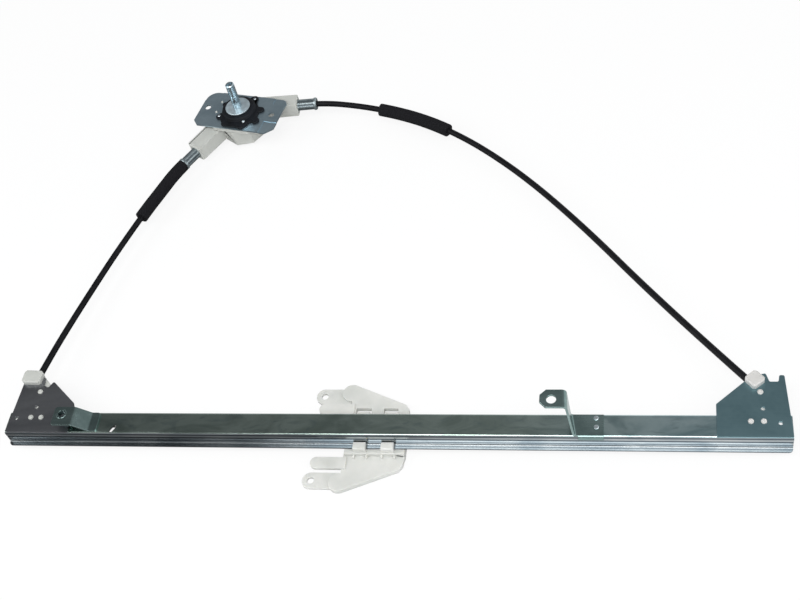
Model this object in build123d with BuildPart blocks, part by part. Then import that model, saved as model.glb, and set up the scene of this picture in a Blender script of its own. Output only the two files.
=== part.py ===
from build123d import *
import math
import os

os.makedirs("parts", exist_ok=True)

# A hand-cranked window regulator: a crank unit with a drum, two conduits and a rail with a carrier
# The origin is on the crank spindle, in the mounting plate's outer face, and +X runs along the rail

# Layout of the whole regulator, in millimetres
spindle_to_rail = 381.0
spindle_to_rail_middle = 194.0
plate_height = 32.0
ground = -plate_height

# Hat-section rail
rail_length = 676.0
rail_width = 22.0
rail_height = 25.0
rail_depth = 14.0
lip_reach = 4.2
rail_sheet = 1.2
bend_radius = 1.0
end_cut = 54.0
web_top = ground + rail_height
web_bottom = web_top - rail_sheet
lip_top = web_top - rail_depth
lip_bottom = lip_top - rail_sheet
hat_width = rail_width + 2 * lip_reach
rolled_line_z = web_top - 0.45 * rail_depth
rolled_line_width = 1.2
rolled_line_depth = 0.4

# Cables and conduits
cable_radius = 0.75
cable_room = 0.55
conduit_radius = 3.0
conduit_bore = 1.2
rail_cable_z = -14.0
turn_radius = 18.0
seat_clearance = 0.1
seat_room = 30.0
sleeve_radius = 6.5
sleeve_clearance = 0.05

# Mounting plate
plate_angle = -12.5
plate_length = 92.5
plate_width = 50.0
plate_middle = (1.2, -1.5)
plate_sheet = 1.5
plate_step = 0.6
bolt_circle = 75.0
bolt_hole_radius = 3.2
hub_hole_radius = 13.8
peg_radius = 1.2
peg_clearance = 0.2
peg_rise = 0.8
rivet_radius = 1.0
rivet_head = 1.6
rivet_rise = 0.8
rivet_depth = 7.0

# Drum and spindle
drum_middle = -13.0
pitch_radius = 14.0
groove_pitch = 2.5
groove_count = 6
groove_room = 0.3
drum_radius = 15.6
drum_rim = 1.25
drum_nipple_radius = 1.9
drum_nipple_length = 4.0
drum_nipple_circle = 10.3
dog_circle = 9.5
dog_length = 7.0
dog_width = 4.0
dog_engagement = 2.0
dog_clearance = 0.1
spindle_radius = 4.5
spindle_tip = 38.0
tip_slot_width = 1.6
tip_slot_depth = 1.8
undercut_radius = 4.0
undercut_width = 1.4
collar_radius = 5.0
square_size = 7.0
journal_radius = 3.0
journal_end_gap = 0.4
running_fit = 0.05
washer_radius = 13.0
washer_thickness = 1.5
spline_count = 16
spline_length = 14.0
spline_width = 0.35
spline_depth = 0.35

# Brake cover, brake driver and wrap spring
cover_height = 5.4
cover_wall = 1.2
cover_bore = 15.8
cover_cap_foot = 18.4
cover_cap_top = 16.9
cover_flange = 2.0
cover_skirt_radius = 20.0
cover_skirt_middle = (2.5, -4.0)
washer_gap = 0.3
driver_radius = 13.2
driver_bottom = 0.4
driver_thickness = 3.2
spring_wire = 1.2
spring_pitch = 1.5
spring_turns = 1.6
spring_clearance = 0.1

# Drum housing
housing_sides = 8
housing_top_radius = 26.5
housing_bottom_radius = 23.5
housing_bottom = -28.0
housing_flange = 4.0
housing_flange_length = 58.0
drum_room_radius = 17.0
drum_room_end = 1.0
foot_radius = 9.0
outlet_size = 16.0
outlet_draft = 1.0
outlet_reach = 60.0
outlet_bore = 2.0
outlet_rib = 2.4
outlet_rib_height = 5.0

# Ferrules at the housing's outlets, measured along the cable from the drum
ferrule_radius = 5.75
ferrule_clearance = 0.1
ferrule_start = 51.0
ferrule_end = 80.0
ferrule_collar_radius = 6.5
ferrule_collar = 2.5
conduit_start = 68.0

# Carrier of the glass
carrier_offset = -1.2
wing_thickness = 5.0
slider_half_width = 19.5
slider_left = -27.0
slider_right = 25.0
lip_clearance = 0.4
rib_half_width = 9.3
rib_top = -10.5
hook_spacing = 24.2
hook_width = 11.0
hook_outer = 18.7
hook_inner = 15.7
hook_lip = 11.6
hook_top = -16.3
hook_tip_radius = 3.4
gusset_width = 1.4
gusset_length = 3.0
gusset_rise = 2.6
arm_hole_radius = 3.0
arm_hole_x = -54.4
arm_hole_y = 42.0
arm_thickness = 2.7
nipple_radius = 2.5
nipple_length = 7.0
nipple_spacing = 18.0
nipple_bore = 1.1
nipple_clearance = 0.05

# End brackets, guides and their pins
bracket_sheet = 1.5
bracket_top = web_top + bracket_sheet
left_end = -rail_length / 2
right_end = rail_length / 2
guide_bottom = ground + 10.0
guide_rim = 2.5
tongue_half_width = 8.6
tongue_length = 21.0
pin_radius = 2.4
pin_dome = 1.5
pin_bevel = 0.9
pin_clearance = 0.1
block_rise = 5.0
block_overlap = 1.5
jig_hole_radius = 1.7
left_pins = [(left_end + 22.7, 31.5), (left_end + 21.9, 4.2), (left_end + 31.7, 4.3)]
right_pins = [(right_end - 23.2, 31.3), (right_end - 31.9, 3.6), (right_end - 22.0, 3.7)]
left_jig_hole = (left_end + 7.9, 3.5)
right_jig_hole = (right_end - 9.3, 2.2)
left_mark = (left_end + 24.1, 15.0)
right_mark = (right_end - 22.1, 15.6)
left_block = Location((left_end + 12.0, 45.5, 0), (0, 0, -2.5))
right_block = Location((right_end - 27.0, 41.8, 0), (0, 0, 40.5))
left_block_size = (18.5, 13.3)
right_block_size = (13.0, 12.5)

# Tabs that hold the rail in the door
tab_sheet = 1.8
tab_half_width = 9.4
left_tab_rise = 11.0
left_tab_start = left_end + 48.5
left_tab_hole = (left_end + 56.0, 2.0)
left_tab_hole_radius = 3.2
left_tab_collar = 4.6
left_tab_collar_depth = 3.5
left_tab_collar_rim = 0.4
mid_tab_sheet = 2.0
mid_tab_rise = 39.0
mid_tab_hole = (151.4, 0.0)
mid_tab_hole_radius = 4.0
tab_rivets_at = [(184.7, 5.6), (185.1, -2.9)]
tab_rivet_radius = 1.3
tab_rivet_head = 2.1
tab_rivet_rise = 0.8


def rail_plane(height):
    """A level plane whose origin is over the rail's middle and centre line."""
    return Plane(origin=(spindle_to_rail_middle, -spindle_to_rail, height))


def rail_side(offset):
    """An upright plane along the rail, seen from the near side, offset across the rail."""
    return Plane(
        origin=(spindle_to_rail_middle, -spindle_to_rail + offset, 0), x_dir=(1, 0, 0), z_dir=(0, -1, 0)
    )


def unit_plane(height):
    """A level plane on the spindle's axis, turned with the mounting plate."""
    turn = math.radians(plate_angle)
    return Plane(origin=(0, 0, height), x_dir=(math.cos(turn), math.sin(turn), 0))


def heading(angle):
    """A level unit vector at an angle from +X."""
    return Vector(math.cos(math.radians(angle)), math.sin(math.radians(angle)), 0)


def corner_radii(points):
    """The radius of each corner, as large as its two runs allow."""
    radii = []
    for before, at, after in zip(points, points[1:], points[2:]):
        run_in = at - before
        run_out = after - at
        half_turn = math.radians(run_in.get_angle(run_out)) / 2
        radii.append(0.45 * min(run_in.length, run_out.length) / math.tan(half_turn))
    return radii


def along(points, radii, section):
    """A bar or tube of one section, along straight runs joined by tangent arcs."""
    with BuildPart() as bar:
        with BuildLine() as route:
            FilletPolyline(*points, radius=radii)
        with BuildSketch(Plane(origin=route.line @ 0, z_dir=route.line % 0)):
            add(section)
        sweep()
    return bar


def save(builder, name):
    """Label a finished piece and write it."""
    builder.part.label = name
    export_step(builder.part, f"parts/{name}.step")


# Each cable leaves the drum along a tangent, at the height of its groove
right_outlet = 2.8
left_outlet = -120.6
right_outlet_z = drum_middle + groove_pitch / 2
left_outlet_z = drum_middle - groove_pitch / 2
right_tangent = heading(right_outlet + 90) * pitch_radius + Vector(0, 0, right_outlet_z)
left_tangent = heading(left_outlet - 90) * pitch_radius + Vector(0, 0, left_outlet_z)

# Each conduit ends on the floor of a seat in the guide at the rail's end
right_exit = 130.5
left_exit = 79.0
right_seat_across = 41.0
left_seat_across = 42.4
right_seat = Vector(
    spindle_to_rail_middle + right_end - 25.2, -spindle_to_rail + right_seat_across, rail_cable_z
)
left_seat = Vector(spindle_to_rail_middle + left_end + 8.7, -spindle_to_rail + left_seat_across, rail_cable_z)
right_turn = right_seat - heading(right_exit) * (right_seat_across / math.sin(math.radians(right_exit)))
left_turn = left_seat - heading(left_exit) * (left_seat_across / math.sin(math.radians(left_exit)))

# Routes of the conduits, from the ferrule at the drum housing to the seat at the rail
right_route = [
    right_tangent + heading(right_outlet) * conduit_start,
    right_tangent + heading(right_outlet) * 88.8,
    Vector(127.0, 12.0, -12.8),
    Vector(168.0, 0.3, -13.8),
    Vector(205.0, -15.8, -14.7),
    Vector(243.0, -40.0, -15.5),
    Vector(281.0, -71.8, -16.0),
    Vector(316.0, -106.6, -16.4),
    Vector(348.0, -143.0, -16.6),
    Vector(378.0, -179.8, -16.5),
    Vector(415.7, -229.1, -16.0),
    right_seat + heading(right_exit) * 63.2,
    right_seat,
]
left_route = [
    left_tangent + heading(left_outlet) * conduit_start,
    left_tangent + heading(left_outlet) * 92.0,
    Vector(-68.5, -96.0, -15.0),
    Vector(-78.3, -119.5, -15.7),
    Vector(-88.3, -148.5, -16.1),
    Vector(-99.0, -182.0, -16.4),
    Vector(-108.7, -217.0, -16.4),
    Vector(-119.5, -261.0, -15.4),
    left_seat + heading(left_exit) * 38.1,
    left_seat,
]
right_radii = corner_radii(right_route)
left_radii = corner_radii(left_route)
print("right conduit corner radii", [round(radius) for radius in right_radii])
print("left conduit corner radii", [round(radius) for radius in left_radii])

# Rail
rail_section = Plane(
    origin=(spindle_to_rail_middle - rail_length / 2, -spindle_to_rail, 0), x_dir=(0, 1, 0), z_dir=(1, 0, 0)
)
half_web = rail_width / 2
half_hat = hat_width / 2
with BuildPart() as rail:
    with BuildSketch(rail_section):
        with BuildLine():
            FilletPolyline(
                (-half_hat, lip_top - rail_sheet / 2),
                (-half_web + rail_sheet / 2, lip_top - rail_sheet / 2),
                (-half_web + rail_sheet / 2, web_top - rail_sheet / 2),
                (half_web - rail_sheet / 2, web_top - rail_sheet / 2),
                (half_web - rail_sheet / 2, lip_top - rail_sheet / 2),
                (half_hat, lip_top - rail_sheet / 2),
                radius=bend_radius + rail_sheet / 2,
            )
        trace(line_width=rail_sheet)
        # Rolled line along the outside of both flanges
        with Locations((-half_web, rolled_line_z), (half_web, rolled_line_z)):
            Rectangle(2 * rolled_line_depth, rolled_line_width, mode=Mode.SUBTRACT)
    extrude(amount=rail_length)
    lip_edges = rail.edges().filter_by(Axis.Z)
    lip_corners = [
        edge for edge in lip_edges if abs(abs(edge.center().Y + spindle_to_rail) - half_hat) < 0.01
    ]
    fillet(lip_corners, lip_reach * 0.8)
    # The far flange is cut away at both ends, where the guides pass out of the channel
    with BuildSketch(rail_plane(lip_bottom - 1)):
        with Locations((-rail_length / 2, 0), (rail_length / 2, 0)):
            Rectangle(2 * end_cut, hat_width, align=(Align.CENTER, Align.MIN))
    extrude(amount=web_bottom - lip_bottom + 1, mode=Mode.SUBTRACT)
    # Holes of the guides' pins, jig holes, rivet holes and a slanted slot in the web
    with BuildSketch(rail_plane(web_bottom)):
        with Locations(*left_pins[1:], *right_pins[1:]):
            Circle(pin_radius + pin_clearance)
        with Locations(left_jig_hole, right_jig_hole):
            Circle(jig_hole_radius)
        with Locations(*tab_rivets_at):
            Circle(tab_rivet_radius)
        with Locations(Location((-235.3, -6.2, 0), (0, 0, 60))):
            SlotOverall(8.0, 3.0)
    extrude(amount=rail_sheet, mode=Mode.SUBTRACT)
save(rail, "rail")


def guide_footprint(turn_x, block, inner_size):
    """The outline of a guide's body, from the turn of its cable to the block of its conduit."""
    with Locations((turn_x, turn_radius)):
        Circle(turn_radius + guide_rim)
    with Locations(block):
        Rectangle(*inner_size)
    make_hull()


def end_guide(side, seat, exit_angle, turn, pins, block, block_size):
    """A moulded guide that turns the cable out of the rail and seats the end of the conduit."""
    inner_size = [length - 2 * block_overlap for length in block_size]
    seat_at = (seat.X - spindle_to_rail_middle, seat.Y + spindle_to_rail)
    turn_at = (turn.X - spindle_to_rail_middle, 0)
    half_bend = math.radians(abs(90 - side * 90 - exit_angle)) / 2
    turn_x = side * (abs(turn_at[0]) - turn_radius * math.tan(half_bend))
    groove_width = 2 * (cable_radius + cable_room)
    with BuildPart() as guide:
        # Body around the turn of the cable, with a tongue in the rail's channel
        with BuildSketch(rail_plane(guide_bottom)):
            guide_footprint(turn_x, block, inner_size)
            with Locations((turn_x - side * tongue_length / 2, 0)):
                Rectangle(tongue_length, 2 * tongue_half_width)
        extrude(amount=web_bottom - guide_bottom)
        # Pad that fills the step beside the web, up to the bracket
        with BuildSketch(rail_plane(web_bottom)):
            guide_footprint(turn_x, block, inner_size)
            Rectangle(rail_length * 2, rail_width + 2 * pin_clearance, mode=Mode.SUBTRACT)
        extrude(amount=rail_sheet)
        # Block of the conduit, which stands through the bracket and laps over its edge
        with BuildSketch(rail_plane(guide_bottom)):
            with Locations(block):
                Rectangle(*inner_size)
        extrude(amount=bracket_top - guide_bottom)
        with BuildSketch(rail_plane(bracket_top)) as cap:
            with Locations(block):
                Rectangle(*block_size)
            chamfer(cap.vertices(), 2.0)
        extrude(amount=block_rise)
        chamfer(guide.faces().sort_by(Axis.Z)[-1].edges(), 0.8)
        # Pins, domed over the bracket
        with BuildSketch(rail_plane(web_bottom)):
            with Locations(*pins):
                Circle(pin_radius)
        extrude(amount=bracket_top + pin_dome - web_bottom)
        rims = guide.edges().filter_by(GeomType.CIRCLE)
        pin_rims = [rim for rim in rims if abs(rim.center().Z - bracket_top - pin_dome) < 0.01]
        chamfer(pin_rims, pin_bevel)
        # Groove of the cable, open below
        tongue_end = turn_x - side * tongue_length
        with BuildSketch(rail_plane(guide_bottom)):
            with BuildLine():
                FilletPolyline((tongue_end, 0), turn_at, seat_at, radius=turn_radius)
            trace(line_width=groove_width)
        extrude(amount=rail_cable_z + groove_width / 2 - guide_bottom, mode=Mode.SUBTRACT)
        # Seat of the conduit, open at the back of the block
        with Locations(Plane(origin=seat, z_dir=heading(exit_angle))):
            Cylinder(
                conduit_radius + seat_clearance,
                seat_room,
                align=(Align.CENTER, Align.CENTER, Align.MIN),
                mode=Mode.SUBTRACT,
            )
    return guide


left_guide = end_guide(-1, left_seat, left_exit, left_turn, left_pins, left_block, left_block_size)
save(left_guide, "left_guide")
right_guide = end_guide(1, right_seat, right_exit, right_turn, right_pins, right_block, right_block_size)
save(right_guide, "right_guide")


def end_bracket(outline, pins, jig_hole, mark, notch):
    """A flat bracket on the rail's end that holds the guide."""
    with BuildPart() as bracket:
        with BuildSketch(rail_plane(web_top)) as sheet:
            with BuildLine():
                Polyline(*outline, close=True)
            make_face()
            fillet(sheet.vertices(), 1.4)
            with Locations(*pins):
                Circle(pin_radius + pin_clearance, mode=Mode.SUBTRACT)
            with Locations(jig_hole, mark):
                Circle(jig_hole_radius, mode=Mode.SUBTRACT)
            with Locations(notch[0]):
                Rectangle(*notch[1], align=(Align.CENTER, Align.MIN), mode=Mode.SUBTRACT)
        extrude(amount=bracket_sheet)
    return bracket


left_notch = (Location((left_end + 9.0, 40.1, 0), (0, 0, -2.5)), (21.8, 20.0))
right_notch = (right_block * Location((0, -4.95, 0)), (10.4, 20.0))
left_outline = [
    (left_end + 1.5, -half_web),
    (left_end + 3.6, 44.0),
    (left_end + 19.0, 48.0),
    (left_end + 23.6, 46.0),
    (left_end + 24.1, 38.5),
    (left_end + 28.7, 36.1),
    (left_end + 32.6, 42.7),
    (left_end + 58.6, 20.0),
    (left_end + 61.3, 14.0),
    (left_end + 61.3, -half_web),
]
right_outline = [
    (right_end - 58.6, -half_web),
    (right_end - 58.2, 19.8),
    (right_end - 36.2, 40.5),
    (right_end - 29.0, 47.0),
    (right_end - 18.0, 49.5),
    (right_end - 15.5, 41.4),
    (right_end - 8.5, 41.4),
    (right_end - 7.5, 47.8),
    (right_end - 3.5, 47.5),
    (right_end, -half_web),
]
left_bracket = end_bracket(left_outline, left_pins, left_jig_hole, left_mark, left_notch)
save(left_bracket, "left_bracket")
right_bracket = end_bracket(right_outline, right_pins, right_jig_hole, right_mark, right_notch)
save(right_bracket, "right_bracket")

# Left tab: a cranked strip over the web with a collared hole
left_tab_top = web_top + left_tab_rise
with BuildPart() as left_tab:
    with BuildSketch(rail_side(0)):
        with BuildLine():
            FilletPolyline(
                (left_tab_start, left_tab_top - tab_sheet / 2),
                (left_tab_start + 19.0, left_tab_top - tab_sheet / 2),
                (left_tab_start + 31.5, web_top + tab_sheet / 2),
                (left_tab_start + 39.5, web_top + tab_sheet / 2),
                radius=3.0,
            )
        trace(line_width=tab_sheet)
    extrude(amount=tab_half_width, both=True)
    corners = left_tab.edges().filter_by(Axis.Z)
    fillet(corners, 2.5)
    with BuildSketch(rail_plane(left_tab_top - tab_sheet - left_tab_collar_depth)):
        with Locations(left_tab_hole):
            Circle(left_tab_collar)
    extrude(amount=left_tab_collar_depth + tab_sheet + left_tab_collar_rim)
    with BuildSketch(rail_plane(web_top)):
        with Locations(left_tab_hole):
            Circle(left_tab_hole_radius)
    extrude(amount=left_tab_rise + left_tab_collar_rim, mode=Mode.SUBTRACT)
save(left_tab, "left_tab")

# Middle tab: a Z-shaped bracket with a flap folded over the near flange
mid_tab_top = web_top + mid_tab_rise
with BuildPart() as mid_tab:
    with BuildSketch(rail_side(-0.9)):
        with BuildLine():
            FilletPolyline(
                (195.0, web_top + mid_tab_sheet / 2),
                (170.0, web_top + mid_tab_sheet / 2),
                (170.0, mid_tab_top - mid_tab_sheet / 2),
                (142.0, mid_tab_top - mid_tab_sheet / 2),
                radius=3.0,
            )
        trace(line_width=mid_tab_sheet)
    extrude(amount=tab_half_width + 0.7, both=True)
    upright = mid_tab.edges().filter_by(Axis.Z).sort_by(Axis.X)
    chamfer(upright[:2], 5.0)
    flap_start = (spindle_to_rail_middle + 176, -spindle_to_rail, 0)
    with BuildSketch(Plane(origin=flap_start, x_dir=(0, 1, 0), z_dir=(1, 0, 0))):
        with BuildLine():
            FilletPolyline(
                (-5.0, web_top + mid_tab_sheet / 2),
                (-half_web - mid_tab_sheet / 2, web_top + mid_tab_sheet / 2),
                (-half_web - mid_tab_sheet / 2, web_top - 6.2),
                radius=2.0,
            )
        trace(line_width=mid_tab_sheet)
    extrude(amount=19)
    with BuildSketch(rail_plane(mid_tab_top - mid_tab_sheet)):
        with Locations(mid_tab_hole):
            Circle(mid_tab_hole_radius)
    extrude(amount=mid_tab_sheet, mode=Mode.SUBTRACT)
    with BuildSketch(rail_plane(web_top)):
        with Locations(*tab_rivets_at):
            Circle(tab_rivet_radius)
    extrude(amount=mid_tab_sheet, mode=Mode.SUBTRACT)
save(mid_tab, "mid_tab")

# Rivets of the middle tab
with BuildPart() as tab_rivets:
    with BuildSketch(rail_plane(web_bottom - tab_rivet_rise)):
        with Locations(*tab_rivets_at):
            Circle(tab_rivet_head)
    extrude(amount=tab_rivet_rise)
    with BuildSketch(rail_plane(web_bottom)):
        with Locations(*tab_rivets_at):
            Circle(tab_rivet_radius)
    extrude(amount=rail_sheet + mid_tab_sheet)
    with BuildSketch(rail_plane(web_top + mid_tab_sheet)):
        with Locations(*tab_rivets_at):
            Circle(tab_rivet_head)
    extrude(amount=tab_rivet_rise)
    heads = tab_rivets.edges().filter_by(GeomType.CIRCLE).group_by(Axis.Z)
    chamfer(heads[-1] + heads[0], 0.4)
save(tab_rivets, "tab_rivets")

# Carrier
lobe_outline = [
    (-28.5, 0),
    (-28.5, 40.0),
    (-26.1, 52.3),
    (20.2, 32.4),
    (23.5, 28.0),
    (25.0, 19.0),
    (25.0, 0),
]
slider_top = lip_bottom - lip_clearance
slider_length = slider_right - slider_left
slider_middle = (slider_left + slider_right) / 2
slot_width = 2 * (cable_radius + cable_room)
with BuildPart() as carrier:
    # Two lobes in the plane of the glass
    with BuildSketch(rail_plane(ground)) as lobes:
        with BuildLine():
            Polyline(*lobe_outline, close=True)
        make_face()
        with Locations((-29.5, 44.5)):
            Circle(8.5)
        mirror(about=Plane.XZ)
    extrude(amount=wing_thickness)
    # Slider under the lips, with a rib in the channel
    with BuildSketch(rail_plane(ground)):
        with Locations((slider_middle, 0)):
            Rectangle(slider_length, 2 * slider_half_width)
    extrude(amount=slider_top - ground)
    with BuildSketch(rail_plane(slider_top)):
        with Locations((slider_middle, 0)):
            Rectangle(slider_length, 2 * rib_half_width)
    extrude(amount=rib_top - slider_top)
    # Hooks over the lips, on both sides
    hook_step = (hook_outer + hook_inner) / 2
    with BuildSketch(rail_plane(slider_top)):
        with Locations((carrier_offset, hook_step), (carrier_offset, -hook_step)):
            with GridLocations(hook_spacing, 0, 2, 1):
                Rectangle(hook_width, hook_outer - hook_inner)
    extrude(amount=hook_top - slider_top)
    hook_reach = (hook_outer + hook_lip) / 2
    with BuildSketch(rail_plane(lip_top + lip_clearance)) as hooks:
        with Locations((carrier_offset, hook_reach), (carrier_offset, -hook_reach)):
            with GridLocations(hook_spacing, 0, 2, 1):
                Rectangle(hook_width, hook_outer - hook_lip)
        hook_tips = [
            corner for corner in hooks.vertices() if abs(abs(corner.Y + spindle_to_rail) - hook_lip) < 0.01
        ]
        fillet(hook_tips, hook_tip_radius)
    extrude(amount=hook_top - lip_top - lip_clearance)
    hook_crowns = carrier.faces().filter_by_position(Axis.Z, hook_top - 0.01, hook_top + 0.01)
    chamfer(hook_crowns.edges(), 0.6)
    # Gussets at the foot of each hook
    gusset_reach = slider_half_width + gusset_length / 2
    with BuildSketch(rail_plane(ground + wing_thickness)):
        with Locations((carrier_offset, gusset_reach), (carrier_offset, -gusset_reach)):
            with GridLocations(hook_spacing + hook_width, 0, 2, 1):
                Rectangle(gusset_width, gusset_length)
            with GridLocations(hook_spacing - hook_width, 0, 2, 1):
                Rectangle(gusset_width, gusset_length)
    extrude(amount=gusset_rise)
    # Arms that carry the glass
    with BuildSketch(rail_plane(ground)):
        with Locations((arm_hole_x, arm_hole_y), (arm_hole_x, -arm_hole_y)):
            Circle(7.6)
        with Locations((-42.0, arm_hole_y), (-42.0, -arm_hole_y)):
            Rectangle(2 * (abs(arm_hole_x) - 42.0), 15.2)
    extrude(amount=arm_thickness)
    with BuildSketch(rail_plane(ground + 3.5)):
        with Locations((-51.0, 26.8), (-51.0, -26.8)):
            Circle(5.5)
        with Locations((-38.0, 26.8), (-38.0, -26.8)):
            Rectangle(26.0, 11.0)
    extrude(amount=3.0)
    with BuildSketch(rail_plane(ground)):
        with Locations((arm_hole_x, arm_hole_y), (arm_hole_x, -arm_hole_y)):
            Circle(arm_hole_radius)
    extrude(amount=wing_thickness, mode=Mode.SUBTRACT)
    # Windows of the far lobe
    with BuildSketch(rail_plane(ground)):
        with Locations((-16.4, 25.5)):
            Rectangle(13.8, 6.0)
        with Locations((7.7, 25.5)):
            Rectangle(12.6, 6.0)
    extrude(amount=wing_thickness, mode=Mode.SUBTRACT)
    # Slot of the cables and pockets of their nipples, open above
    with BuildSketch(rail_plane(rail_cable_z - slot_width / 2)):
        with Locations((slider_middle, 0)):
            Rectangle(slider_length, slot_width)
    extrude(amount=rib_top - rail_cable_z + slot_width / 2, mode=Mode.SUBTRACT)
    pocket_half = nipple_radius + nipple_clearance
    with BuildSketch(rail_plane(rail_cable_z)):
        with Locations((carrier_offset, 0)):
            with GridLocations(nipple_spacing, 0, 2, 1):
                Rectangle(nipple_length + 2 * nipple_clearance, 2 * pocket_half)
    extrude(amount=rib_top - rail_cable_z, mode=Mode.SUBTRACT)
    with Locations((spindle_to_rail_middle + carrier_offset, -spindle_to_rail, rail_cable_z)):
        with GridLocations(nipple_spacing, 0, 2, 1):
            Cylinder(
                pocket_half,
                nipple_length + 2 * nipple_clearance,
                rotation=(0, 90, 0),
                mode=Mode.SUBTRACT,
            )
save(carrier, "carrier")

# Nipples of the cables in the carrier
with BuildPart() as carrier_nipples:
    with Locations((spindle_to_rail_middle + carrier_offset, -spindle_to_rail, rail_cable_z)):
        with GridLocations(nipple_spacing, 0, 2, 1):
            Cylinder(nipple_radius, nipple_length, rotation=(0, 90, 0))
            Cylinder(nipple_bore, nipple_length, rotation=(0, 90, 0), mode=Mode.SUBTRACT)
save(carrier_nipples, "carrier_nipples")

# Mounting plate
cover_rivets_at = [(-20.1, -7.9), (14.7, 14.8), (8.7, -18.2)]
housing_pegs_at = [(-22.0, 14.8), (-25.4, 0.0)]
lower_strips = [((-38.0, 17.0), (18.0, 14.0)), ((41.0, 19.5), (16.0, 9.0)), ((41.0, -18.5), (16.0, 17.0))]


def plate_outline():
    """The outline of the mounting plate, with a different cut at each corner."""
    left = plate_middle[0] - plate_length / 2
    right = plate_middle[0] + plate_length / 2
    lower = plate_middle[1] - plate_width / 2
    upper = plate_middle[1] + plate_width / 2
    with BuildSketch(mode=Mode.PRIVATE) as outline:
        with BuildLine():
            Polyline(
                (left, upper),
                (left, lower + 6.0),
                (left + 6.0, lower),
                (right - 8.0, lower),
                (right, lower + 8.0),
                (right, upper),
                close=True,
            )
        make_face()
        fillet(outline.vertices().sort_by(Axis.Y)[:4], 1.5)
        fillet(outline.vertices().sort_by_distance((left, upper))[0], 12.0)
        fillet(outline.vertices().sort_by_distance((right, upper))[0], 7.0)
    return outline.sketch


with BuildPart() as mounting_plate:
    with BuildSketch(unit_plane(-plate_sheet)):
        add(plate_outline())
    extrude(amount=plate_sheet)
    # Strips of the wings pressed a little lower than the band of the bolts
    with BuildSketch(unit_plane(-plate_step)):
        for middle, size in lower_strips:
            with Locations(middle):
                Rectangle(*size)
    extrude(amount=plate_step, mode=Mode.SUBTRACT)
    with BuildSketch(unit_plane(-plate_sheet - plate_step)):
        for middle, size in lower_strips:
            with Locations(middle):
                Rectangle(*size)
        add(plate_outline(), mode=Mode.INTERSECT)
    extrude(amount=plate_step)
    with BuildSketch(unit_plane(-plate_sheet)):
        with GridLocations(bolt_circle, 0, 2, 1):
            Circle(bolt_hole_radius)
        Circle(hub_hole_radius)
    extrude(amount=plate_sheet, mode=Mode.SUBTRACT)
    with BuildSketch(Plane.XY.offset(-plate_sheet)):
        with Locations(*cover_rivets_at):
            Circle(rivet_radius)
        with Locations(*housing_pegs_at):
            Circle(peg_radius + peg_clearance)
    extrude(amount=plate_sheet, mode=Mode.SUBTRACT)
save(mounting_plate, "mounting_plate")

# Drum housing, with an outlet for each cable
drum_half = groove_count * groove_pitch / 2 + drum_rim
drum_bottom = drum_middle - drum_half
drum_top = drum_middle + drum_half
room_bottom = drum_bottom - drum_room_end
flange_top = -plate_sheet
rivet_bottom = flange_top - rivet_depth
with BuildPart() as drum_housing:
    with BuildSketch(unit_plane(housing_bottom)):
        RegularPolygon(housing_bottom_radius, housing_sides)
    with BuildSketch(unit_plane(flange_top - housing_flange)):
        RegularPolygon(housing_top_radius, housing_sides)
    loft(ruled=True)
    with BuildSketch(unit_plane(flange_top - housing_flange)) as flange:
        with Locations((0, plate_middle[1])):
            Rectangle(housing_flange_length, plate_width)
        chamfer(flange.vertices(), 9.0)
    extrude(amount=housing_flange)
    for tangent, direction in ((right_tangent, right_outlet), (left_tangent, left_outlet)):
        outlet_foot = Plane(origin=tangent, x_dir=heading(direction + 90), z_dir=heading(direction))
        with BuildSketch(outlet_foot):
            Rectangle(outlet_size + outlet_draft, outlet_size + outlet_draft)
        with BuildSketch(outlet_foot.offset(outlet_reach)):
            Rectangle(outlet_size, outlet_size)
        loft()
        end_face = drum_housing.faces().sort_by(Axis(tangent, heading(direction)))[-1]
        chamfer(end_face.edges(), 0.8)
    # Rib along the upper edge of the left outlet
    left_outlet_side = Plane(origin=left_tangent, x_dir=heading(left_outlet + 90), z_dir=heading(left_outlet))
    with BuildSketch(left_outlet_side.offset(drum_room_radius)):
        with Locations((-outlet_size / 2, outlet_size / 2 - outlet_rib_height)):
            Rectangle(outlet_rib, outlet_rib_height, align=(Align.MAX, Align.MIN))
    extrude(amount=outlet_reach - drum_room_radius - 1.5)
    with BuildSketch(Plane.XY.offset(ground)):
        Circle(foot_radius)
    extrude(amount=housing_bottom - ground)
    with BuildSketch(Plane.XY.offset(room_bottom)):
        Circle(drum_room_radius)
    extrude(amount=flange_top - room_bottom, mode=Mode.SUBTRACT)
    with BuildSketch(Plane.XY.offset(ground + 1.0)):
        Circle(journal_radius + running_fit)
    extrude(amount=room_bottom - ground - 1.0, mode=Mode.SUBTRACT)
    for tangent, direction in ((right_tangent, right_outlet), (left_tangent, left_outlet)):
        bore_plane = Plane(origin=tangent, x_dir=heading(direction + 90), z_dir=heading(direction))
        with BuildSketch(bore_plane):
            Circle(outlet_bore)
        extrude(amount=outlet_reach, mode=Mode.SUBTRACT)
        with BuildSketch(bore_plane.offset(ferrule_start)):
            Circle(ferrule_radius + ferrule_clearance)
        extrude(amount=outlet_reach - ferrule_start, mode=Mode.SUBTRACT)
    with BuildSketch(Plane.XY.offset(rivet_bottom)):
        with Locations(*cover_rivets_at):
            Circle(rivet_radius)
    extrude(amount=flange_top - rivet_bottom, mode=Mode.SUBTRACT)
    with BuildSketch(Plane.XY.offset(flange_top)):
        with Locations(*housing_pegs_at):
            Circle(peg_radius)
    extrude(amount=plate_sheet + peg_rise)
save(drum_housing, "drum_housing")

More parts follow.
